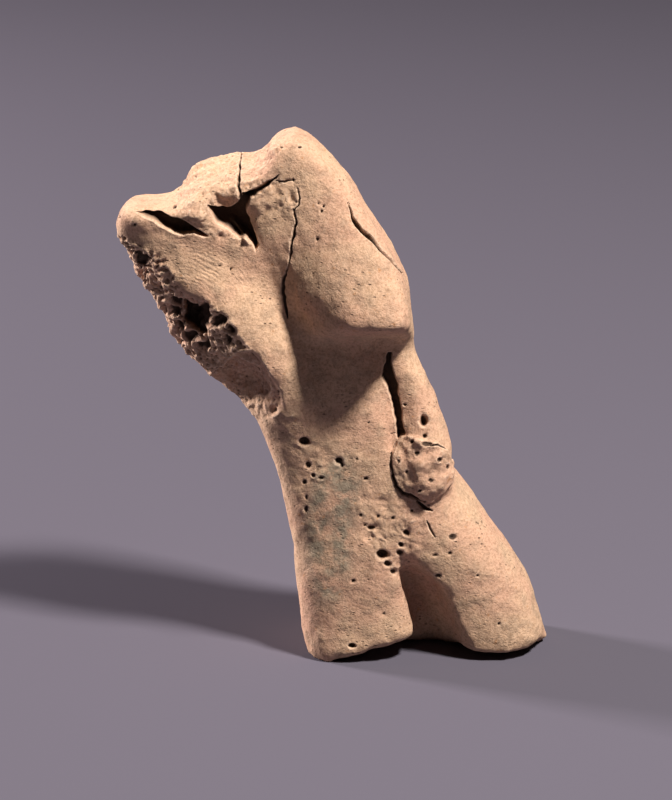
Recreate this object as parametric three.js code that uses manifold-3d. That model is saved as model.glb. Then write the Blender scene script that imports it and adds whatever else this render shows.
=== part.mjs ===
// A hand-modelled clay figurine of a woman: a torso with one breast and one arm, broken off at the
// neck, along the other shoulder and at both thighs. It is one solid lump of fired clay.
//
// Millimetres. The figure is shaped upright in its own frame: x to the viewer's right, y away from
// the viewer, z up the spine from the crotch. It then leans to the viewer's left, as it stands on
// its broken thighs. The origin is on the ground, under the middle of the box that holds it.
import * as THREE from "three";
import { mergeVertices } from "three/addons/utils/BufferGeometryUtils.js";
import Module from "manifold-3d";

const LEAN = THREE.MathUtils.degToRad(22);
const CROTCH_ABOVE_GROUND = 15;
const CELL = 1.5;
const CLAY_COLOUR = 0xc9a688;

// How far the clay reaches from the spine at each height. squareness 2 is an ellipse.
const TORSO = {
  squareness: 4,
  sections: [
    { z: -16, left: -12, right: 11, front: -5, back: 6 },
    { z: -4, left: -15, right: 12, front: -7.6, back: 8.4 },
    { z: 4, left: -15, right: 11.4, front: -8.2, back: 9 },
    { z: 12, left: -14, right: 11, front: -8.2, back: 8.4 },
    { z: 20, left: -12.6, right: 10, front: -7.8, back: 7.2 },
    { z: 30, left: -12.8, right: 10, front: -7.2, back: 6.8 },
    { z: 38, left: -17, right: 12, front: -6.2, back: 6.8 },
    { z: 44, left: -18.8, right: 12.6, front: -5.8, back: 6.8 },
    { z: 48, left: -18.6, right: 12.8, front: -5.8, back: 6.7 },
    { z: 52, left: -19.6, right: 13, front: -5.9, back: 6.6 },
    { z: 62, left: -20.3, right: 13, front: -6.1, back: 6.2 },
    { z: 74, left: -20.4, right: 12, front: -5.4, back: 5.6 },
  ],
};
const LEFT_THIGH = {
  squareness: 4,
  sections: [
    { z: -28, left: -20.8, right: -2.6, front: -10, back: 8.8 },
    { z: -12, left: -19.8, right: -2.2, front: -9.8, back: 9 },
    { z: -5, left: -18.6, right: -0.9, front: -9.2, back: 9.2 },
    { z: 0, left: -17.1, right: 0, front: -8.8, back: 9.2 },
    { z: 8, left: -14.4, right: 1, front: -8.2, back: 8.4 },
  ],
};
const RIGHT_THIGH = {
  squareness: 2.6,
  sections: [
    { z: -30, left: 1.4, right: 14.8, front: -8.8, back: 8.4 },
    { z: -18, left: 0.2, right: 15.6, front: -8.8, back: 8.6 },
    { z: -11, left: -1.1, right: 16, front: -8.8, back: 9 },
    { z: -4, left: -1, right: 14.7, front: -8.8, back: 9.2 },
    { z: 8, left: -1, right: 11, front: -8.2, back: 8.4 },
  ],
};
const TORSO_LOWER_END = -6;
const THIGHS_UPPER_END = 8;

// Lumps and rolls added to the body: balls of clay run together, each with its centre and radius.
const BUTTOCKS = [
  { x: -6.4, y: 4.4, z: 3.4, r: 6 },
  { x: 6, y: 4.4, z: 3.4, r: 5.8 },
];
const SHOULDER_RIDGE = [
  { x: -17.6, y: -3.6, z: 65.4, r: 2.4 },
  { x: -11, y: -4.8, z: 63.8, r: 2.5 },
  { x: -7.2, y: -5.2, z: 62, r: 2.2 },
];
const LOST_BREAST_ROOT = [
  { x: -13, y: -4, z: 52, r: 4 },
  { x: -9.4, y: -5.8, z: 45, r: 5.4 },
  { x: -7.6, y: -6.4, z: 38, r: 5.4 },
  { x: -5.8, y: -6, z: 31, r: 4.2 },
  { x: -7, y: -5, z: 25, r: 3 },
];
const LOST_BREAST_DEPTH = 0.64;
const WEB_BEHIND_THE_GAP = [
  { x: -0.6, y: 3.4, z: -2, r: 4 },
  { x: -0.8, y: 2.6, z: -28, r: 4 },
];
const ARM = [
  { x: 9.2, y: 0.6, z: 58, r: 4.4 },
  { x: 11.6, y: -1, z: 48.6, r: 4.1 },
  { x: 12.5, y: -2.2, z: 40, r: 4 },
  { x: 11, y: -2.4, z: 31, r: 2.5 },
  { x: 11.2, y: -3.4, z: 22, r: 2.9 },
  { x: 9.8, y: -4.6, z: 15, r: 3.8 },
];
const ARM_DEPTH = 1.3;
const HAND = [
  { x: 8.4, y: -5.4, z: 16, r: 3.6 },
  { x: 8.4, y: -5.8, z: 11.2, r: 3.7 },
];

// The breast is a blunt pyramid. Each face goes through a place and looks along a direction.
const BREAST_FACES = [
  { x: 12, y: -12, z: 47.3, looks: [0.32, -1, 0.48] },
  { x: 6.3, y: -9.4, z: 51, looks: [-0.4, -1, 0.5] },
  { x: 3, y: -10.9, z: 43.6, looks: [-1.4, -1, 0] },
  { x: 16.6, y: -8, z: 45, looks: [1, 0, 0.22] },
  { x: 16.7, y: -12, z: 41, looks: [1, 0, -0.26] },
  { x: 8, y: 1, z: 50, looks: [0, 1, 0] },
];
const BREAST_UNDERSIDE = { x: 10.5, y: -15.2, z: 38, looks: [-0.34, -0.41, -0.85] };
const BREAST_ROOT = { heights: [43, 48, 54, 60], fillet: [1, 1, 3, 4] };

// How softly the lumps run into each other, and how worn the edges are.
const ROUNDING = {
  ends: 6,
  flesh: 3,
  crotch: 1.5,
  breast: 2.4,
  pressedOn: 0.8,
  ridge: 1,
  topEdge: 2.4,
  break: 0.6,
};

// Hollows taken out of the clay.
const NECK_GOUGE = [
  { x: -4, y: -6.4, z: 61.4, r: 2.2 },
  { x: -2.4, y: -6.2, z: 58.6, r: 2 },
  { x: -2, y: -6.6, z: 54.6, r: 1.2 },
];
const ARM_SLIT = [
  { x: 10, y: -6.2, z: 34, r: 1.3 },
  { x: 7.6, y: -6.9, z: 26, r: 1.3 },
  { x: 6.2, y: -7.8, z: 18, r: 1.2 },
];
const SCAR_HOLLOWS = [
  { x: -15, y: -6, z: 48, r: 3 },
  { x: -13.6, y: -8, z: 35, r: 5.6 },
];
const GAP_IN_FRONT = [
  { x: 0.5, y: -10, z: 2, r: 0.8 },
  { x: 1.4, y: -8.8, z: -5, r: 2.8 },
  { x: 0.6, y: -7.8, z: -20, r: 2.8 },
];
const GAP_BEHIND = [
  { x: -0.4, y: -6, z: 0, r: 0.8 },
  { x: -1, y: -3.4, z: -7, r: 1.4 },
  { x: -1.2, y: -3.4, z: -20, r: 1.9 },
];
const GAP_DEPTH = 1.7;

// The scar where the other arm broke away: a rough slope from the chest's edge back to the left side.
// Its slope, in degrees, is how far it faces to the front.
const SCAR = {
  heights: [22, 27, 31, 37, 44, 48.5, 52.5, 56.5, 61, 66],
  edge: [-12.6, -9.4, -7.2, -7.8, -9.5, -11, -14.7, -15.8, -18.4, -20],
  front: [-7, -7.6, -8.6, -9.6, -9.4, -8.4, -7, -6.2, -5.6, -5.6],
  slope: [50, 50, 50, 50, 50, 48, 42, 36, 34, 34],
};

// The broken top: its height at each place across the shoulders. The neck's break slopes to the front.
const TOP = {
  across: [-20.6, -17, -13, -10, -7, -4, -1, 3, 7, 10, 12.6, 16],
  heights: [64.4, 65.8, 64.3, 64.2, 66.5, 66.7, 66.3, 65, 66.6, 66.2, 62.1, 55],
};
const NECK = { x: -3.6, halfWidth: 6, back: 5, slope: 0.3 };

// The broken underside: how high its front edge rises off the ground, from the left to the right.
const UNDERSIDE = {
  across: [-13, -11, -8, -5.6, -2, 2, 6, 9, 17, 20, 23],
  rise: [-0.6, 0.5, 1.2, 2.2, 3, 3.4, 2, 1.6, 1.6, 1.8, 3.4],
  front: -4.5,
  back: 1,
};

function joined(a, b, fillet) {
  const overlap = Math.max(fillet - Math.abs(a - b), 0) / fillet;
  return Math.min(a, b) - (overlap * overlap * fillet) / 4;
}

function common(a, b, fillet) {
  return -joined(-a, -b, fillet);
}

function curveThrough(places, values) {
  const curve = new THREE.CubicInterpolant(places, values, 1, new Float32Array(1));
  return (at) => curve.evaluate(THREE.MathUtils.clamp(at, places[0], places.at(-1)))[0];
}

// Distance to a form drawn through rounded cross-sections up the spine.
function loft({ squareness, sections }) {
  const reach = new THREE.CubicInterpolant(
    sections.map((s) => s.z),
    sections.flatMap((s) => [s.left, s.right, s.front, s.back]),
    4,
    new Float32Array(4),
  );
  const n = squareness;
  const core = 0.3;
  return (p) => {
    const [left, right, front, back] = reach.evaluate(p.z);
    const halfWidth = (right - left) / 2;
    const halfDepth = (back - front) / 2;
    const u = Math.abs(p.x - (left + right) / 2) / halfWidth;
    const v = Math.abs(p.y - (front + back) / 2) / halfDepth;
    const ring = Math.pow(Math.pow(u, n) + Math.pow(v, n), 1 / n);
    if (ring < core) return (core - 1) * halfDepth;
    const steepness = Math.hypot(Math.pow(u, n - 1) / halfWidth, Math.pow(v, n - 1) / halfDepth);
    return (ring - 1) / (steepness * Math.pow(ring, 1 - n));
  };
}

// Distance to a run of balls, each joined to the next by a tapered roll. depth stretches it along y.
function roll(p, balls, depth = 1) {
  let nearest = Infinity;
  for (let i = 0; i + 1 < balls.length; i++) {
    const a = balls[i];
    const b = balls[i + 1];
    const along = new THREE.Vector3(b.x - a.x, b.y - a.y, b.z - a.z);
    const fromA = new THREE.Vector3(p.x - a.x, p.y - a.y, p.z - a.z);
    const t = THREE.MathUtils.clamp(fromA.dot(along) / along.lengthSq(), 0, 1);
    fromA.addScaledVector(along, -t);
    fromA.y /= depth;
    nearest = Math.min(nearest, fromA.length() - THREE.MathUtils.lerp(a.r, b.r, t));
  }
  return nearest;
}

function nearestBall(p, balls) {
  return Math.min(...balls.map((b) => Math.hypot(p.x - b.x, p.y - b.y, p.z - b.z) - b.r));
}

const torso = loft(TORSO);
const leftThigh = loft(LEFT_THIGH);
const rightThigh = loft(RIGHT_THIGH);

function hips(p) {
  const pair = joined(leftThigh(p), rightThigh(p), ROUNDING.crotch);
  const webbed = joined(pair, roll(p, WEB_BEHIND_THE_GAP), ROUNDING.crotch);
  const thighs = common(webbed, p.z - THIGHS_UPPER_END, ROUNDING.ends);
  return joined(thighs, nearestBall(p, BUTTOCKS), ROUNDING.flesh);
}

const scarEdge = curveThrough(SCAR.heights, SCAR.edge);
const scarFront = curveThrough(SCAR.heights, SCAR.front);
const scarSlope = curveThrough(SCAR.heights, SCAR.slope);

function beyondScar(p) {
  const slope = THREE.MathUtils.degToRad(scarSlope(p.z));
  const outward = (scarEdge(p.z) - p.x) * Math.cos(slope);
  const forward = (scarFront(p.z) - p.y) * Math.sin(slope);
  return outward + forward;
}

const topHeight = curveThrough(TOP.across, TOP.heights);

function aboveTop(p) {
  const neck = Math.exp(-Math.pow((p.x - NECK.x) / NECK.halfWidth, 2));
  return p.z - topHeight(p.x) - neck * NECK.slope * Math.min(p.y - NECK.back, 0);
}

// Distance in front of a flat face.
function beforeFace(p, { x, y, z, looks }) {
  const [right, back, up] = looks;
  return ((p.x - x) * right + (p.y - y) * back + (p.z - z) * up) / Math.hypot(right, back, up);
}

const breastFillet = curveThrough(BREAST_ROOT.heights, BREAST_ROOT.fillet);

function breast(p, chest) {
  const sides = BREAST_FACES.map((face) => beforeFace(p, face));
  const pyramid = sides.reduce((a, b) => common(a, b, ROUNDING.breast));
  const onChest = joined(chest, pyramid, breastFillet(p.z));
  return common(onChest, beforeFace(p, BREAST_UNDERSIDE), ROUNDING.pressedOn);
}

function gapBetweenThighs(p) {
  const front = roll(p, GAP_IN_FRONT, GAP_DEPTH);
  return joined(front, roll(p, GAP_BEHIND, GAP_DEPTH), ROUNDING.crotch);
}

function figure(p) {
  let chest = joined(torso(p), roll(p, LOST_BREAST_ROOT, LOST_BREAST_DEPTH), ROUNDING.flesh);
  chest = joined(chest, roll(p, SHOULDER_RIDGE), ROUNDING.ridge);
  chest = common(chest, beyondScar(p), ROUNDING.ridge);
  let body = common(chest, TORSO_LOWER_END - p.z, ROUNDING.ends);
  body = joined(body, hips(p), ROUNDING.flesh);
  body = joined(body, roll(p, ARM, ARM_DEPTH), ROUNDING.pressedOn);
  body = joined(body, roll(p, HAND), ROUNDING.pressedOn);
  body = joined(body, breast(p, chest), ROUNDING.pressedOn);
  body = common(body, aboveTop(p), ROUNDING.topEdge);
  body = common(body, -gapBetweenThighs(p), ROUNDING.pressedOn);
  body = common(body, -Math.min(roll(p, NECK_GOUGE), roll(p, ARM_SLIT)), ROUNDING.ridge);
  return common(body, -nearestBall(p, SCAR_HOLLOWS), ROUNDING.break);
}

// The corners of a grid cell: corner c lies at (c & 1, (c >> 1) & 1, c >> 2).
const AXES = [0, 1, 2];
const CORNERS = [0, 1, 2, 3, 4, 5, 6, 7];
const CELL_EDGES = CORNERS.flatMap((start) =>
  AXES.filter((axis) => !(start & (1 << axis))).map((axis) => ({ start, axis, end: start | (1 << axis) })),
);
const FACE_DIAGONALS = CORNERS.flatMap((a) =>
  [3, 5, 6].map((bits) => [a, a ^ bits]).filter(([, b]) => b > a),
);

// Groups the crossed edges of a cell into the separate sheets of surface that pass through it.
function sheetsThrough(isInside) {
  const group = [...CORNERS];
  const join = (a, b) => {
    const old = group[b];
    for (const c of CORNERS) if (group[c] === old) group[c] = group[a];
  };
  for (const { start, end } of CELL_EDGES) if (isInside[start] === isInside[end]) join(start, end);
  for (const [a, b] of FACE_DIAGONALS) if (!isInside[a] && !isInside[b]) join(a, b);
  const sheets = new Map();
  for (const edge of CELL_EDGES) {
    if (isInside[edge.start] === isInside[edge.end]) continue;
    const pair = [group[edge.start], group[edge.end]].sort().join();
    if (!sheets.has(pair)) sheets.set(pair, []);
    sheets.get(pair).push(edge);
  }
  return sheets.values();
}

// Moves a point onto the surface where the field is zero, along the field's slope.
function settle(point, field, reach) {
  const here = field(point);
  const slope = new THREE.Vector3();
  for (const axis of AXES) {
    const beside = point.clone().setComponent(axis, point.getComponent(axis) + reach);
    slope.setComponent(axis, (field(beside) - here) / reach);
  }
  point.addScaledVector(slope, -here / Math.max(slope.lengthSq(), 0.5));
}

// Draws the closed surface where the field is zero, as a net with a corner for each sheet in each cell.
function netSurface(field, low, high, cell) {
  const count = high.clone().sub(low).divideScalar(cell).ceil().addScalar(1).toArray();
  const stride = [1, count[0], count[0] * count[1]];
  const strideOf = (corner) => AXES.reduce((sum, a) => sum + ((corner >> a) & 1) * stride[a], 0);
  const cornerStride = CORNERS.map(strideOf);
  const values = new Float32Array(count[0] * count[1] * count[2]);
  const forEachNode = (from, visit) => {
    for (let k = from; k < count[2] - from; k++)
      for (let j = from; j < count[1] - from; j++)
        for (let i = from; i < count[0] - from; i++) visit([i, j, k], k * stride[2] + j * stride[1] + i);
  };
  const point = new THREE.Vector3();
  forEachNode(0, (at, node) => {
    values[node] = field(point.fromArray(at).multiplyScalar(cell).add(low));
  });

  const positions = [];
  const netCorner = new Map();
  const edgeKey = (node, start, axis) => (node * 8 + start) * 3 + axis;
  forEachNode(1, (at, node) => {
    const value = cornerStride.map((offset) => values[node + offset]);
    const isInside = value.map((v) => v < 0);
    if (isInside.every((v) => v === isInside[0])) return;
    for (const sheet of sheetsThrough(isInside)) {
      const sum = new THREE.Vector3();
      for (const { start, axis, end } of sheet) {
        const crossing = new THREE.Vector3(start & 1, (start >> 1) & 1, start >> 2);
        const share = value[start] / (value[start] - value[end]);
        sum.add(crossing.setComponent(axis, share));
        netCorner.set(edgeKey(node, start, axis), positions.length / 3);
      }
      point.fromArray(at).addScaledVector(sum, 1 / sheet.length).multiplyScalar(cell).add(low);
      settle(point, field, cell / 20);
      positions.push(...point.toArray());
    }
  });

  const triangles = [];
  forEachNode(2, (at, node) => {
    const inside = values[node] < 0;
    for (const axis of AXES) {
      if (inside === values[node + stride[axis]] < 0) continue;
      const u = (axis + 1) % 3;
      const v = (axis + 2) % 3;
      const around = [0, 1 << u, (1 << u) | (1 << v), 1 << v];
      const quad = around.map((start) => netCorner.get(edgeKey(node - cornerStride[start], start, axis)));
      if (!inside) quad.reverse();
      triangles.push(quad[0], quad[1], quad[2], quad[0], quad[2], quad[3]);
    }
  });
  const geometry = new THREE.BufferGeometry();
  geometry.setAttribute("position", new THREE.Float32BufferAttribute(positions, 3));
  geometry.setIndex(triangles);
  return geometry;
}

const wasm = await Module();
wasm.setup();

function solidOf(geometry) {
  const bare = geometry.clone();
  bare.deleteAttribute("normal");
  bare.deleteAttribute("uv");
  const welded = mergeVertices(bare, 1e-4);
  return new wasm.Manifold(
    new wasm.Mesh({
      numProp: 3,
      vertProperties: welded.attributes.position.array,
      triVerts: new Uint32Array(welded.index.array),
    }),
  );
}

function geometryOf(solid) {
  const mesh = solid.getMesh();
  const geometry = new THREE.BufferGeometry();
  geometry.setAttribute("position", new THREE.BufferAttribute(mesh.vertProperties, 3));
  geometry.setIndex(new THREE.BufferAttribute(mesh.triVerts, 1));
  geometry.computeVertexNormals();
  return geometry;
}

const upright = new THREE.Matrix4()
  .makeRotationY(LEAN)
  .multiply(new THREE.Matrix4().makeTranslation(0, 0, -CROTCH_ABOVE_GROUND));
const inFigure = new THREE.Vector3();
const undersideRise = curveThrough(UNDERSIDE.across, UNDERSIDE.rise);

// The clay is drawn a little way below the ground, where it is then cut off flat.
const BELOW_GROUND = { start: 0.5, end: 4 };
const DRAWN_LOW = new THREE.Vector3(-50, -24, -8);
const DRAWN_HIGH = new THREE.Vector3(32, 18, 90);
const GROUND = { width: 200, thickness: 40 };

function belowUnderside(p) {
  const toFront = 1 - THREE.MathUtils.smoothstep(p.y, UNDERSIDE.front, UNDERSIDE.back);
  return undersideRise(p.x) * toFront - BELOW_GROUND.start - p.z;
}

function leaningFigure(p) {
  inFigure.copy(p).applyMatrix4(upright);
  const standing = common(figure(inFigure), belowUnderside(p), ROUNDING.break);
  return Math.max(standing, -p.z - BELOW_GROUND.end);
}

const clay = solidOf(netSurface(leaningFigure, DRAWN_LOW, DRAWN_HIGH, CELL));
const ground = new THREE.BoxGeometry(GROUND.width, GROUND.width, GROUND.thickness);
ground.translate(0, 0, -GROUND.thickness / 2);
const geometry = geometryOf(clay.subtract(solidOf(ground)));
geometry.computeBoundingBox();
const middle = geometry.boundingBox.getCenter(new THREE.Vector3());

const figurine = new THREE.Mesh(
  geometry,
  new THREE.MeshStandardMaterial({ color: CLAY_COLOUR, roughness: 0.95, metalness: 0 }),
);
figurine.name = "female_figurine";
figurine.position.set(-middle.x, -middle.y, 0);

const part = new THREE.Group();
part.add(figurine);
export default part;
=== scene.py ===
# A broken figurine of a woman, modelled by hand in coarse clay and fired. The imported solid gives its
# form. The clay's cracks, gouges, scars, pores and colours are worked into a copy of that solid.
import math

import bmesh
import bpy
import numpy as np
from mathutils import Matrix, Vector, noise
from mathutils.bvhtree import BVHTree


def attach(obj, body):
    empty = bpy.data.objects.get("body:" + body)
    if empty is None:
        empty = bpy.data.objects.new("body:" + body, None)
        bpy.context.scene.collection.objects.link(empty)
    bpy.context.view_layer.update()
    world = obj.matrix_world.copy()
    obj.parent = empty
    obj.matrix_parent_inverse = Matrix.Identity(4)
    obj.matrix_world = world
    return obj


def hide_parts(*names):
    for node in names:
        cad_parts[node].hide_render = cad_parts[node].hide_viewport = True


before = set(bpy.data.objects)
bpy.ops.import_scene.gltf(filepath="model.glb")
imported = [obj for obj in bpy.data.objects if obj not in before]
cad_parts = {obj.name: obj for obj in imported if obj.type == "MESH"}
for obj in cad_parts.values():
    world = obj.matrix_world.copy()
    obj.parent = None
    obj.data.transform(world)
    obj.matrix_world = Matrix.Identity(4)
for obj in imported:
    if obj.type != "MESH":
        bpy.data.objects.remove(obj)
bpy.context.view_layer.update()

MM = 0.001

# The view: the photograph's size in pixels, the real size of a pixel at the figurine, and the camera.
PHOTO_WIDTH = 672
PHOTO_HEIGHT = 800
PIXEL = 0.15
CAMERA_DISTANCE = 450
CAMERA_RISE = math.radians(18)
SENSOR = 36
LOOKED_AT = Vector((-0.11, 2.523, 38.9))
TO_CAMERA = Vector((0, -math.cos(CAMERA_RISE), math.sin(CAMERA_RISE)))
INWARD = Vector((0, 1, 0))
CAMERA_UP = Vector((0, math.sin(CAMERA_RISE), math.cos(CAMERA_RISE)))
CAMERA_PLACE = LOOKED_AT + TO_CAMERA * CAMERA_DISTANCE

# Lights: the direction that each comes from, its size in millimetres, its power in watts and its colour.
LIGHT_DISTANCE = 800
LIGHTS = {
    "key_light": ((0.425, -0.338, 0.839), 100, 13, (1, 0.94, 0.86)),
    "rim_light": ((-0.88, 0.4, 0.3), 120, 13, (1, 0.91, 0.88)),
}
STUDIO_LIGHT = 0.01
FLOOR_SIZE = 4000
FLOOR_COLOUR = (0.105, 0.097, 0.126)

# The clay's skin: how wide its cells are before detail splits them, and how near the ground it rests.
SKIN_CELL = 0.87
GROUND_CONTACT = 0.05


def take_view():
    lens = bpy.data.cameras.new("camera")
    lens.sensor_width = SENSOR
    lens.lens = SENSOR * CAMERA_DISTANCE / (PHOTO_HEIGHT * PIXEL)
    lens.clip_start = 0.01
    camera = bpy.data.objects.new("camera", lens)
    camera.location = CAMERA_PLACE * MM
    camera.rotation_euler = (math.pi / 2 - CAMERA_RISE, 0, 0)
    bpy.context.scene.collection.objects.link(camera)
    bpy.context.scene.camera = camera


def light_studio():
    for name, (direction, size, power, colour) in LIGHTS.items():
        lamp = bpy.data.lights.new(name, "AREA")
        lamp.size = size * MM
        lamp.energy = power
        lamp.color = colour
        light = bpy.data.objects.new(name, lamp)
        towards = Vector(direction).normalized()
        light.location = (LOOKED_AT + towards * LIGHT_DISTANCE) * MM
        light.rotation_euler = towards.to_track_quat("Z", "Y").to_euler()
        bpy.context.scene.collection.objects.link(light)
    world = bpy.data.worlds.new("studio")
    world.use_nodes = True
    world.node_tree.nodes["Background"].inputs["Strength"].default_value = STUDIO_LIGHT
    world.node_tree.nodes["Background"].inputs["Color"].default_value = (1, 1, 1, 1)
    bpy.context.scene.world = world
    bpy.context.scene.view_settings.view_transform = "Standard"


def lay_floor():
    shape = bmesh.new()
    bmesh.ops.create_grid(shape, x_segments=1, y_segments=1, size=FLOOR_SIZE / 2 * MM)
    mesh = bpy.data.meshes.new("floor")
    shape.to_mesh(mesh)
    shape.free()
    paper = bpy.data.materials.new("pale_paper")
    paper.use_nodes = True
    surface = paper.node_tree.nodes["Principled BSDF"]
    surface.inputs["Base Color"].default_value = (*FLOOR_COLOUR, 1)
    surface.inputs["Roughness"].default_value = 1
    surface.inputs["Specular IOR Level"].default_value = 0
    mesh.materials.append(paper)
    floor = bpy.data.objects.new("floor", mesh)
    bpy.context.scene.collection.objects.link(floor)


def in_photo(points):
    """Where points are seen in the photograph, in pixels across and down."""
    from_camera = points - np.array(CAMERA_PLACE)
    scale = CAMERA_DISTANCE / (PIXEL * -(from_camera @ np.array(TO_CAMERA)))
    across = PHOTO_WIDTH / 2 + from_camera[:, 0] * scale
    down = PHOTO_HEIGHT / 2 - from_camera @ np.array(CAMERA_UP) * scale
    return np.stack([across, down], axis=1)


def soft_step(low, high, value):
    share = np.clip((value - low) / (high - low), 0, 1)
    return share * share * (3 - 2 * share)


def ripple(points, size, seed):
    """Smooth noise from about -1 to 1, in lumps about as wide as size."""
    shift = Vector((seed * 7.3, seed * 3.1, seed * 5.7))
    return np.array([noise.noise(Vector(p) / size + shift) for p in points])


def distorted(points, reach, size, seed):
    """Points pushed about by smooth noise, so that a pattern laid on them turns irregular."""
    pushes = [ripple(points, size, seed + axis) for axis in range(3)]
    return points + reach * np.stack(pushes, axis=1)


def sockets(points, size, seed):
    """Packed cells about as wide as size: 0 in the middle of each, rising to 1 on the walls between."""
    shift = Vector((seed * 7.3, seed * 3.1, seed * 5.7))
    walls = []
    for p in points:
        distances = noise.voronoi(Vector(p) / size + shift)[0]
        walls.append(distances[0] / max(distances[1], 1e-6))
    return np.array(walls)


def from_line(seen, line):
    """How far seen points lie from a line in the photo, in millimetres, and how far along it they are."""
    line = np.array(line, float)
    steps = np.linalg.norm(np.diff(line, axis=0), axis=1)
    before = np.concatenate([[0], np.cumsum(steps)])
    nearest = np.full(len(seen), np.inf)
    along = np.zeros(len(seen))
    for i, step in enumerate(steps):
        way = (line[i + 1] - line[i]) / step
        share = np.clip((seen - line[i]) @ way, 0, step)
        distance = np.linalg.norm(seen - line[i] - share[:, None] * way, axis=1)
        closer = distance < nearest
        nearest[closer] = distance[closer]
        along[closer] = (before[i] + share[closer]) / before[-1]
    return nearest * PIXEL, along


def within(seen, outline):
    """How far inside an outline in the photo seen points lie, in millimetres. Outside it is negative."""
    distance, _ = from_line(seen, list(outline) + [outline[0]])
    inside = np.zeros(len(seen), bool)
    corners = np.array(outline, float)
    for (u0, v0), (u1, v1) in zip(corners, np.roll(corners, -1, axis=0)):
        spans = (v0 > seen[:, 1]) != (v1 > seen[:, 1])
        rise = v1 - v0 if v1 != v0 else 1
        inside ^= spans & (seen[:, 0] < (u1 - u0) * (seen[:, 1] - v0) / rise + u0)
    return np.where(inside, distance, -distance)


# Places in the photograph are in pixels across and down. Widths, depths and sizes are in millimetres.
# Cracks: the line, the width at its start and at its end, and the depth.
CRACKS = {
    "down_the_neck": ([(241, 152), (241, 160), (239, 172), (238, 186), (241, 200)], 0.3, 0.5, 0.9),
    "up_from_the_gouge": ([(247, 197), (257, 191), (268, 183), (279, 175)], 1.2, 0.2, 1.3),
    "beside_the_breast": (
        [(293, 209), (295, 217), (296, 224), (294, 231), (292, 241), (290, 254), (288, 266)],
        0.3, 0.4, 0.9,
    ),
    "root_of_the_breast": (
        [(287, 268), (283, 281), (283, 290), (285, 303), (288, 318)],
        0.4, 0.5, 0.6,
    ),
    "top_of_the_arm": (
        [(348, 203), (351, 210), (352, 217), (356, 225), (362, 231), (369, 235), (374, 241)],
        0.3, 0.5, 0.8,
    ),
    "along_the_arm": (
        [(352, 216), (362, 231), (373, 240), (379, 248), (386, 255), (392, 261), (402, 273)],
        0.7, 0.3, 0.7,
    ),
    "left_of_the_hand": ([(391, 452), (391, 463), (392, 471), (394, 480)], 0.3, 0.4, 0.4),
    "under_the_hand": ([(393, 474), (396, 486), (403, 493), (412, 496), (425, 502)], 0.5, 0.7, 0.9),
    "below_the_hand": ([(417, 502), (424, 508), (432, 511)], 0.5, 0.5, 0.8),
    "back_of_the_hand": ([(430, 446), (437, 445), (445, 449)], 0.3, 0.3, 0.3),
    "groin": ([(427, 521), (430, 529), (435, 537)], 0.3, 0.3, 0.4),
    "neck_hairline": ([(276, 181), (284, 182), (293, 180)], 0.25, 0.25, 0.25),
    "neck_edge": ([(297, 188), (300, 199), (297, 207), (293, 212)], 0.25, 0.25, 0.3),
}

# Pits: the place, the width, the height and the depth.
PITS = [
    (174.5, 206, 0.7, 0.8, 0.6), (135, 225, 0.5, 0.4, 0.3), (120, 217, 0.4, 0.3, 0.3),
    (220, 266, 0.5, 0.4, 0.4), (231, 269, 0.4, 0.6, 0.4), (293, 180, 0.4, 0.4, 0.4),
    (300, 147, 0.7, 0.4, 0.4), (281, 147, 0.5, 0.3, 0.3), (318, 203, 0.4, 0.4, 0.4),
    (323, 206, 0.4, 0.4, 0.4), (321, 211, 0.4, 0.4, 0.4), (317, 239, 0.5, 0.5, 0.4),
    (424, 421, 1.4, 1.6, 1.5), (425, 436, 0.7, 0.7, 0.7), (405, 405, 0.5, 0.4, 0.3),
    (339, 461, 1.1, 1, 0.9), (342, 465, 0.5, 0.7, 0.4), (304.5, 442, 1.7, 1.3, 1),
    (308, 465, 0.9, 0.9, 0.5), (313, 475, 0.7, 0.6, 0.4), (321, 478, 0.8, 0.5, 0.4),
    (304, 482, 0.6, 0.7, 0.4), (306, 497, 0.4, 0.6, 0.3), (306, 509, 0.5, 1, 0.5),
    (366, 479, 0.8, 0.4, 0.4), (369, 422, 0.6, 0.3, 0.3), (357, 459, 0.4, 0.4, 0.3),
    (361, 515, 0.5, 0.4, 0.3), (365, 525, 0.5, 0.4, 0.4), (371.5, 528, 1.2, 0.7, 0.6),
    (378, 516, 0.6, 0.4, 0.3), (393, 518, 0.6, 0.5, 0.4), (406, 533.5, 0.9, 0.9, 0.8),
    (401, 545, 0.7, 0.7, 0.6), (383, 555, 1.9, 1.3, 1.4), (388, 564, 1, 0.9, 0.8),
    (450, 553.5, 0.6, 0.5, 0.4), (435, 555, 0.9, 0.3, 0.4), (438, 576, 0.9, 0.5, 0.4),
    (353.5, 581, 0.6, 0.6, 0.4), (384, 614, 0.4, 0.5, 0.3), (499, 624, 0.5, 0.5, 0.4),
    (478, 576, 0.5, 0.4, 0.3), (453, 537, 1.3, 1, 0.3), (352, 646, 1.1, 0.7, 0.9),
    (400, 553, 1, 0.8, 0.6), (394, 572, 0.9, 0.8, 0.5), (412, 511, 0.5, 0.4, 0.3),
    (427, 444, 1.5, 0.7, 0.6), (413, 442, 0.7, 0.6, 0.4), (417, 453, 0.8, 0.6, 0.4),
    (438, 459, 0.8, 0.6, 0.4), (446, 467, 0.5, 0.6, 0.3), (408, 471, 0.5, 0.5, 0.3),
    (430, 479, 0.7, 0.5, 0.3), (421, 489, 0.6, 0.5, 0.3), (400, 461, 0.5, 0.6, 0.3),
]

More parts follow.
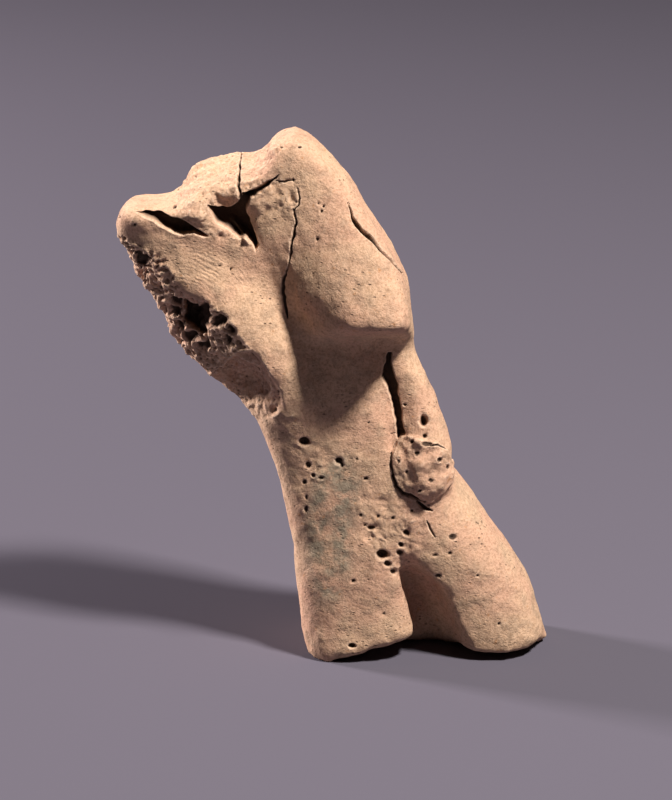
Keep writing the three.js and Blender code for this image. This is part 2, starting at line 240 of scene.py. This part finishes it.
# Deep places: the outline, the depth, and how wide the bank at its edge is.
UNDER_THE_SHOULDER_RIDGE = [
    (135, 212), (149, 209), (161, 210), (171, 216), (182, 219), (192, 225), (206, 234), (210, 237),
    (202, 237), (194, 234), (184, 236), (174, 234), (161, 227), (152, 221), (143, 217),
]
NECK_GOUGE = [
    (206, 205), (220, 206), (231, 206), (240, 200), (241, 191), (249, 190), (256, 191), (250, 201),
    (247, 210), (252, 223), (257, 236), (259, 244), (257, 254), (252, 244), (246, 237), (238, 238),
    (227, 229), (217, 224), (211, 214),
]
SLIVER_IN_THE_GOUGE = [(228, 218), (236, 226), (244, 236), (251, 246)]
BIG_SOCKET = [
    (184, 297), (196, 301), (206, 305), (214, 313), (212, 324), (210, 336), (204, 337), (193, 329),
    (185, 322), (185, 310),
]
UPPER_HOLLOW = [(134, 249), (145, 252), (153, 257), (150, 263), (146, 267), (139, 262)]
ARM_SLIT = [
    (387, 352), (393, 352), (393, 365), (399, 386), (400, 397), (403, 412), (404, 424), (406, 433),
    (402, 437), (398, 441), (396, 438), (395, 424), (393, 412), (391, 400), (387, 389), (381, 378),
]
GOUGES = [
    (UNDER_THE_SHOULDER_RIDGE, 2.6, 0.5),
    (NECK_GOUGE, 2.6, 0.45),
    (BIG_SOCKET, 2, 0.7),
    (UPPER_HOLLOW, 1, 0.5),
    (ARM_SLIT, 1.6, 0.4),
]

# Broken places: the outline, and how coarse the break is.
SCAR = [
    (117, 232), (136, 244), (154, 253), (166, 262), (174, 274), (178, 289), (190, 297), (212, 305),
    (226, 316), (233, 324), (241, 337), (252, 350), (240, 352), (226, 362), (212, 376), (190, 368),
    (170, 335), (150, 305), (125, 262),
]
SCAR_FACET = [
    (239, 351), (252, 351), (264, 363), (273, 378), (282, 392), (282, 410), (274, 418), (258, 420),
    (240, 405), (225, 392), (212, 376), (217, 369), (230, 358),
]
NECK_BREAK = [
    (166, 196), (186, 168), (214, 152), (246, 150), (276, 130), (284, 150), (262, 170), (268, 184),
    (250, 192), (240, 202), (206, 206), (180, 208),
]
BETWEEN_THE_RECESSES = [
    (176, 211), (206, 208), (212, 220), (225, 231), (240, 240), (228, 240), (210, 236), (192, 222),
]
POROUS_NECK_FRONT = [(250, 186), (272, 178), (292, 182), (298, 200), (291, 216), (262, 222), (252, 206)]


HAND = [
    (398, 441), (402, 437), (410, 435), (419, 438), (428, 442), (437, 443), (448, 450), (452, 464),
    (452, 480), (444, 492), (432, 502), (420, 499), (404, 494), (396, 487), (392, 474), (391, 456),
]
LOWER_BELLY = [
    (350, 498), (372, 488), (398, 500), (424, 512), (430, 540), (412, 566), (396, 580), (380, 566),
    (364, 540),
]
LEFT_WAIST = [
    (284, 408), (300, 414), (318, 440), (336, 452), (340, 474), (318, 486), (300, 470), (286, 436),
]

# Broken and crumbled places: the outline, how high its lumps stand, how deep its sockets go and how
# wide its edge is.
ROUGH_PLACES = [
    (SCAR, 0.5, 1.1, 0.9),
    (SCAR_FACET, 0.4, 0.2, 0.9),
    (NECK_BREAK, 0.35, 0.25, 1.2),
    (BETWEEN_THE_RECESSES, 0.4, 0.2, 0.9),
    (POROUS_NECK_FRONT, 0.2, 0.3, 2),
    (HAND, 0.3, 0.15, 1.2),
    (LOWER_BELLY, 0.15, 0.26, 3),
    (LEFT_WAIST, 0.13, 0.2, 3),
]


def clay_blank():
    """A fine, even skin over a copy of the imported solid, with its facets rubbed smooth."""
    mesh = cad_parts["female_figurine"].data.copy()
    mesh.materials.clear()
    shape = bmesh.new()
    shape.from_mesh(mesh)
    bmesh.ops.remove_doubles(shape, verts=shape.verts, dist=1e-6)
    shape.to_mesh(mesh)
    shape.free()
    blank = bpy.data.objects.new("clay_blank", mesh)
    bpy.context.scene.collection.objects.link(blank)
    skin = blank.modifiers.new("skin", "REMESH")
    skin.mode = "VOXEL"
    skin.voxel_size = SKIN_CELL * MM
    graph = bpy.context.evaluated_depsgraph_get()
    shape = bmesh.new()
    shape.from_mesh(bpy.data.meshes.new_from_object(blank.evaluated_get(graph)))
    bpy.data.objects.remove(blank)
    rub_smooth(shape, 2)
    return shape


def rub_smooth(shape, times):
    ground = [v for v in shape.verts if v.co.z < GROUND_CONTACT * MM]
    free = [v for v in shape.verts if v.co.z >= GROUND_CONTACT * MM]
    for _ in range(times):
        bmesh.ops.smooth_vert(
            shape, verts=free, factor=0.5, use_axis_x=True, use_axis_y=True, use_axis_z=True
        )
        bmesh.ops.smooth_vert(
            shape, verts=ground, factor=0.5, use_axis_x=True, use_axis_y=True, use_axis_z=False
        )
    for v in ground:
        v.co.z = 0
    shape.normal_update()


def facing_camera(normals):
    return normals @ np.array(TO_CAMERA)


def refine(shape, wanted, least_facing):
    """Splits each face that turns far enough to the camera, where wanted is above 0 at its place there."""
    seen = in_photo(np.array([f.calc_center_median() for f in shape.faces]) / MM)
    facing = facing_camera(np.array([f.normal for f in shape.faces]))
    chosen = (facing > least_facing) & (wanted(seen) > 0)
    edges = {e for f, yes in zip(shape.faces, chosen) if yes for e in f.edges}
    bmesh.ops.subdivide_edges(shape, edges=list(edges), cuts=1, use_grid_fill=True)
    shape.normal_update()
    shape.faces.ensure_lookup_table()


def anywhere(seen):
    return np.ones(len(seen))


def near_detail(seen):
    reach = np.full(len(seen), -np.inf)
    for outline, _, _, _ in ROUGH_PLACES:
        reach = np.maximum(reach, within(seen, outline))
    for outline, _, _ in GOUGES:
        reach = np.maximum(reach, within(seen, outline) + 0.6)
    for line, _, _, _ in CRACKS.values():
        reach = np.maximum(reach, 0.9 - from_line(seen, line)[0])
    for u, v, width, height, _ in PITS:
        pit = np.linalg.norm(seen - np.array([u, v]), axis=1) * PIXEL
        reach = np.maximum(reach, 0.5 + max(width, height) / 2 - pit)
    return reach


def near_edges(seen):
    reach = np.full(len(seen), -np.inf)
    for outline, _, _ in GOUGES:
        reach = np.maximum(reach, 0.35 - np.abs(within(seen, outline)))
    for line, first, last, _ in CRACKS.values():
        reach = np.maximum(reach, 0.15 + max(first, last) / 2 - from_line(seen, line)[0])
    return reach


class Clay:
    """The smooth clay, in millimetres, and the moves to be made on it."""

    def __init__(self, shape):
        shape.verts.index_update()
        self.points = np.array([v.co for v in shape.verts]) / MM
        self.normals = np.array([v.normal for v in shape.verts])
        self.edges = np.array([[v.index for v in e.verts] for e in shape.edges])
        self.links = np.bincount(self.edges.ravel(), minlength=len(self.points))
        self.seen = in_photo(self.points)
        self.front = self.spread(self.in_sight(shape), 2)
        self.wobble = ripple(self.points, 0.9, 1)
        self.moves = np.zeros(self.points.shape)
        # Painted shade, from 0 to 1: how far each point is darkened where shadow falls in cracks, pits,
        # gouges and broken sockets.
        self.painted_shade = np.zeros(len(self.points))

    def in_sight(self, shape):
        tree = BVHTree.FromBMesh(shape)
        facing = facing_camera(self.normals)
        sight = soft_step(-0.05, 0.1, facing)
        for i in np.nonzero(sight > 0)[0]:
            start = Vector(self.points[i] * MM) + (Vector(self.normals[i]) + TO_CAMERA) * 0.1 * MM
            if tree.ray_cast(start, TO_CAMERA)[0] is not None:
                sight[i] = 0
        return sight

    def spread(self, values, times):
        """Each point's value is averaged with its neighbours'."""
        first, second = self.edges.T
        for _ in range(times):
            total = np.bincount(first, values[second], len(values))
            total += np.bincount(second, values[first], len(values))
            values = (values + total / self.links) / 2
        return values

    def press(self, depth, amount):
        """Moves the clay inward by depth times each point's amount."""
        self.moves -= self.normals * (depth * amount)[:, None]

    def crack(self, line, first, last, depth):
        wobbled = self.seen + 1.2 * self.wobble[:, None]
        distance, along = from_line(wobbled, line)
        taper = np.sin(np.pi * np.clip(along, 0.04, 0.96)) ** 0.35
        half = (first + (last - first) * along) / 2 * taper
        cut = self.front * np.clip(1.4 - distance / half, 0, 1)
        self.press(depth, cut)
        # Painted shade darkens the crack.
        self.painted_shade = np.maximum(self.painted_shade, cut)

    def pit(self, u, v, width, height, depth):
        away = (self.seen - np.array([u, v])) * PIXEL
        away = away + 0.12 * self.wobble[:, None]
        radius = np.hypot(away[:, 0] / (width / 2), away[:, 1] / (height / 2))
        cut = self.front * np.clip(1.3 - radius**2, 0, 1)
        self.press(depth, cut)
        # Painted shade darkens the pit.
        self.painted_shade = np.maximum(self.painted_shade, cut)

    def gouge(self, outline, depth, bank):
        wobbled = self.seen + 1.5 * self.wobble[:, None]
        cut = self.front * soft_step(0, bank, within(wobbled, outline))
        self.moves += np.array(INWARD) * (depth * cut)[:, None]
        # Painted shade darkens the gouge.
        self.painted_shade = np.maximum(self.painted_shade, cut)

    def spall(self, outline, deep, shallow, depth, bank):
        """Breaks a flake off: its floor rises from the deep side of the outline to the shallow side."""
        wobbled = self.seen + 1.5 * self.wobble[:, None]
        across = np.subtract(shallow, deep)
        share = np.clip((self.seen - np.array(deep)) @ across / (across @ across), 0, 1)
        cut = self.front * soft_step(0, bank, within(wobbled, outline)) * (1 - share)
        self.moves += np.array(INWARD) * (depth * cut)[:, None]

    def inside(self, outline, bank):
        """1 inside an outline in the photo, falling to 0 over the bank at its edge."""
        return self.front * soft_step(-bank / 2, bank / 2, within(self.seen, outline))

    def sliver(self, line, width, height):
        """A ridge left standing along a line, as high in its middle as height."""
        wobbled = self.seen + 1.2 * self.wobble[:, None]
        distance, along = from_line(wobbled, line)
        rise = self.front * np.exp(-((distance / width) ** 2)) * np.sin(np.pi * along)
        self.moves -= np.array(INWARD) * (height * rise)[:, None]

    def bend(self, points):
        """How sharply the surface bends, per millimetre: above 0 on ridges and below 0 in hollows."""
        first, second = self.edges.T
        lengths = np.sum((points[first] - points[second]) ** 2, axis=1)
        spacing = np.bincount(first, lengths, len(points)) + np.bincount(second, lengths, len(points))
        pull = np.zeros(points.shape)
        for axis in range(3):
            ends = points[:, axis]
            total = np.bincount(first, ends[second], len(points))
            total += np.bincount(second, ends[first], len(points))
            pull[:, axis] = total - self.links * ends
        return -2 * np.sum(pull * self.normals, axis=1) / spacing


# The strokes that smoothed the chest turn about this place, over this part of the chest.
WIPE_CENTRE = (175, 330)
WIPED_CHEST = [
    (152, 240), (184, 238), (212, 244), (236, 252), (246, 270), (240, 290), (222, 300), (202, 294),
    (184, 286), (176, 272), (158, 254),
]
GREY_STAIN = [
    (318, 462), (345, 455), (362, 480), (354, 520), (352, 560), (340, 598), (318, 602), (308, 560),
    (306, 510),
]


def work_the_clay(clay):
    clay.press(-0.5, clay.inside(HAND, 0.5))
    clay.press(0.4, clay.inside(HAND, 1) * ripple(clay.points, 2.1, 12))
    clay.spall(SCAR, (225, 300), (150, 340), 0.8, 0.6)
    clay.spall(SCAR_FACET, (268, 360), (225, 410), 1.2, 0.6)
    for outline, depth, bank in GOUGES:
        clay.gouge(outline, depth, bank)
    clay.sliver(SLIVER_IN_THE_GOUGE, 0.35, 1.3)
    for line, first, last, depth in CRACKS.values():
        clay.crack(line, first, last, depth)
    for pit in PITS:
        clay.pit(*pit)


def break_surfaces(clay):
    """Gives each broken or crumbled place its lumps and irregular sockets, and darkens the sockets with
    painted shade.
    """
    lumps = np.zeros(len(clay.points))
    depth = np.zeros(len(clay.points))
    for outline, height, deep, edge in ROUGH_PLACES:
        place = clay.inside(outline, edge)
        lumps = np.maximum(lumps, height * place)
        depth = np.maximum(depth, deep * place)
    rough = lumps + depth > 0
    points = clay.points[rough]
    pushed = distorted(points, 1.3, 2.4, 6)
    large = 1 - soft_step(0.35, 0.95, sockets(pushed, 2.9, 3))
    large *= soft_step(-0.15, 0.35, ripple(points, 4, 9))
    small = 1 - soft_step(0.3, 0.9, sockets(pushed, 1.2, 8))
    holes = large + 0.45 * small
    bumps = ripple(points, 2.4, 4) + 0.6 * ripple(points, 1.1, 5) + 0.3 * ripple(points, 0.5, 7)
    moved = np.zeros(len(clay.points))
    moved[rough] = depth[rough] * (holes - 0.35) + lumps[rough] * bumps
    clay.press(1, moved)
    # The deeper sockets are darkened with painted shade.
    socket_shade = soft_step(0.15, 0.9, depth[rough] * holes)
    clay.painted_shade[rough] = np.maximum(clay.painted_shade[rough], 0.8 * socket_shade)


def uneven_skin(clay):
    """The slight unevenness of clay that was pressed by hand, with none where it rests on the ground."""
    lifted = soft_step(0, 1.5, clay.points[:, 2])
    clay.press(0.16, lifted * ripple(clay.points, 3.5, 10))
    clay.press(0.14, clay.front * lifted * ripple(clay.points, 1.3, 11))


def surface_marks(clay, worked):
    """What the material reads at each point: painted shade in cracks, pits, gouges, sockets and hollows, a
    painted highlight on ridges, the stain and the wiped chest.
    """
    bend = clay.spread(clay.bend(worked), 1)
    reach = np.linalg.norm(clay.seen - np.array(WIPE_CENTRE), axis=1) * PIXEL
    return {
        # Painted shade in cracks, pits, gouges and sockets, with more painted shade in hollows where the
        # surface bends inward.
        "painted_shade": np.maximum(clay.painted_shade, 0.55 * soft_step(0.5, 2, -bend)),
        # A painted highlight, paler on ridges where the surface bends outward.
        "painted_highlight": soft_step(0.35, 1.8, bend),
        "stain": clay.inside(GREY_STAIN, 3),
        "wiped": clay.inside(WIPED_CHEST, 4),
        "wipe_reach": reach,
    }


def figurine():
    shape = clay_blank()
    refine(shape, anywhere, -0.1)
    rub_smooth(shape, 2)
    refine(shape, near_detail, 0)
    rub_smooth(shape, 1)
    refine(shape, near_edges, 0)
    bmesh.ops.triangulate(shape, faces=[f for f in shape.faces if len(f.verts) > 4])
    shape.normal_update()
    clay = Clay(shape)
    work_the_clay(clay)
    break_surfaces(clay)
    uneven_skin(clay)
    worked = clay.points + clay.moves
    worked[:, 2] = np.maximum(worked[:, 2], 0)
    for vertex, place in zip(shape.verts, worked):
        vertex.co = place * MM
    mesh = bpy.data.meshes.new("female_figurine_clay")
    shape.to_mesh(mesh)
    shape.free()
    mesh.shade_smooth()
    for name, values in surface_marks(clay, worked).items():
        mesh.attributes.new(name, "FLOAT", "POINT").data.foreach_set("value", values)
    piece = bpy.data.objects.new("female_figurine_clay", mesh)
    bpy.context.scene.collection.objects.link(piece)
    return piece


class Shade:
    """A value, colour or place in a material. Python's operators on values add Math nodes."""

    def __init__(self, tree, socket):
        self.tree = tree
        self.socket = socket

    def node(self, kind, settings, values, output=0):
        node = self.tree.nodes.new(kind)
        for name, setting in settings.items():
            setattr(node, name, setting)
        for name, value in values.items():
            if isinstance(value, Shade):
                self.tree.links.new(value.socket, node.inputs[name])
            else:
                node.inputs[name].default_value = value
        return Shade(self.tree, node.outputs[output])

    def maths(self, operation, *values):
        return self.node("ShaderNodeMath", {"operation": operation}, dict(enumerate(values)))

    def __add__(self, other):
        return self.maths("ADD", self, other)

    def __rsub__(self, other):
        return self.maths("SUBTRACT", other, self)

    def __mul__(self, other):
        return self.maths("MULTIPLY", self, other)

    __radd__ = __add__
    __rmul__ = __mul__

    def step(self, low, high):
        """0 below low, 1 above high, and smooth between."""
        limits = {"Value": self, "From Min": low, "From Max": high}
        return self.node("ShaderNodeMapRange", {"interpolation_type": "SMOOTHSTEP"}, limits)

    def noise(self, size, detail, roughness=0.5):
        """Noise from 0 to 1 over places, in lumps about as wide as size millimetres."""
        values = {"Vector": self, "Scale": 1 / (size * MM), "Detail": detail, "Roughness": roughness}
        return self.node("ShaderNodeTexNoise", {}, values)

    def stretched(self, scale, turn=(0, 0, 0)):
        return self.node("ShaderNodeMapping", {}, {"Vector": self, "Scale": scale, "Rotation": turn})

    def pores(self, size):
        """Distance to the nearest of many scattered points, in cells as wide as size millimetres."""
        values = {"Vector": self, "Scale": 1 / (size * MM)}
        return self.node("ShaderNodeTexVoronoi", {}, values, "Distance")

    def tinted(self, colour, share):
        """This colour, mixed with another by share."""
        values = {"Factor": share, "A": self, "B": (*colour, 1)}
        return self.mixed("MIX", values)

    def shaded(self, share, colour):
        values = {"Factor": share, "A": self, "B": (*colour, 1)}
        return self.mixed("MULTIPLY", values)

    def mixed(self, blend, values):
        node = self.tree.nodes.new("ShaderNodeMix")
        node.data_type = "RGBA"
        node.blend_type = blend
        for name, value in values.items():
            wanted = "VALUE" if name == "Factor" else "RGBA"
            socket = next(s for s in node.inputs if s.name == name and s.type == wanted)
            if isinstance(value, Shade):
                self.tree.links.new(value.socket, socket)
            else:
                socket.default_value = value
        return Shade(self.tree, next(s for s in node.outputs if s.type == "RGBA"))


PINK_CLAY = (0.64, 0.385, 0.27)
BUFF_CLAY = (0.65, 0.43, 0.29)
DARK_CLAY = (0.34, 0.25, 0.18)
# The pale cream of a painted highlight on ridges.
RIDGE_HIGHLIGHT_COLOUR = (0.76, 0.56, 0.42)
ORANGE_CLAY = (0.55, 0.25, 0.1)
STAINED_CLAY = (0.23, 0.22, 0.17)
GRAIN_SHADE = (0.68, 0.64, 0.6)
# The near-black of painted shade in cracks, hollows and pores.
PAINTED_SHADE_COLOUR = (0.03, 0.02, 0.015)
WIPE_SPACING = 0.6


def fired_clay():
    material = bpy.data.materials.new("fired_clay")
    material.use_nodes = True
    tree = material.node_tree
    surface = tree.nodes["Principled BSDF"]
    start = Shade(tree, None)
    place = start.node("ShaderNodeTexCoord", {}, {}, "Object")
    painted_shade, painted_highlight, stain, wiped, wipe_reach = (
        start.node("ShaderNodeAttribute", {"attribute_name": name}, {}, "Fac")
        for name in ("painted_shade", "painted_highlight", "stain", "wiped", "wipe_reach")
    )

    patches = place.noise(9, 3).step(0.35, 0.65)
    mottle = place.noise(2.2, 4, 0.65).step(0.42, 0.72)
    grain = place.noise(0.4, 4, 0.75)
    flecks = place.noise(1.3, 3, 0.6).step(0.66, 0.71)
    porous = place.noise(6, 2).step(0.45, 0.65)
    pores = place.stretched((0.7, 1, 1.3)).pores(0.95)
    holes = (1 - pores.step(0.1, 0.22)) * porous
    turns = (wipe_reach + place.noise(2.5, 2) * 1.2) * (2 * math.pi / WIPE_SPACING)
    strokes = start.maths("SINE", turns) * wiped * place.noise(2.6, 2).step(0.38, 0.66)

    colour = start.node("ShaderNodeRGB", {}, {})
    colour.socket.default_value = (*PINK_CLAY, 1)
    colour = colour.tinted(BUFF_CLAY, patches)
    colour = colour.tinted(DARK_CLAY, mottle * 0.45)
    colour = colour.tinted(STAINED_CLAY, stain * place.noise(2.5, 3, 0.6).step(0.35, 0.6) * 0.75)
    colour = colour.tinted(ORANGE_CLAY, flecks * 0.5)
    # Painted highlight: ridges are tinted paler.
    colour = colour.tinted(RIDGE_HIGHLIGHT_COLOUR, painted_highlight * 0.6)
    colour = colour.shaded(grain.step(0.42, 0.68), GRAIN_SHADE)
    # Painted shade: the pores are darkened toward near black, as well as sunk by the bump.
    colour = colour.tinted(PAINTED_SHADE_COLOUR, holes * 0.6)
    # Painted shade: near black in cracks, pits, gouges, sockets and hollows.
    colour = colour.tinted(PAINTED_SHADE_COLOUR, painted_shade.step(0.12, 0.75) * 0.9)
    tree.links.new(colour.socket, surface.inputs["Base Color"])
    surface.inputs["Roughness"].default_value = 0.94
    surface.inputs["Specular IOR Level"].default_value = 0.2

    height = grain * 0.6 + mottle * 0.35 + strokes * 0.11 + (1 - holes) * 0.5
    bump = start.node("ShaderNodeBump", {}, {"Height": height, "Strength": 1, "Distance": 0.26 * MM})
    tree.links.new(bump.socket, surface.inputs["Normal"])
    return material


take_view()
light_studio()
lay_floor()
clay = figurine()
clay.data.materials.append(fired_clay())
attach(clay, "root")
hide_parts("female_figurine")
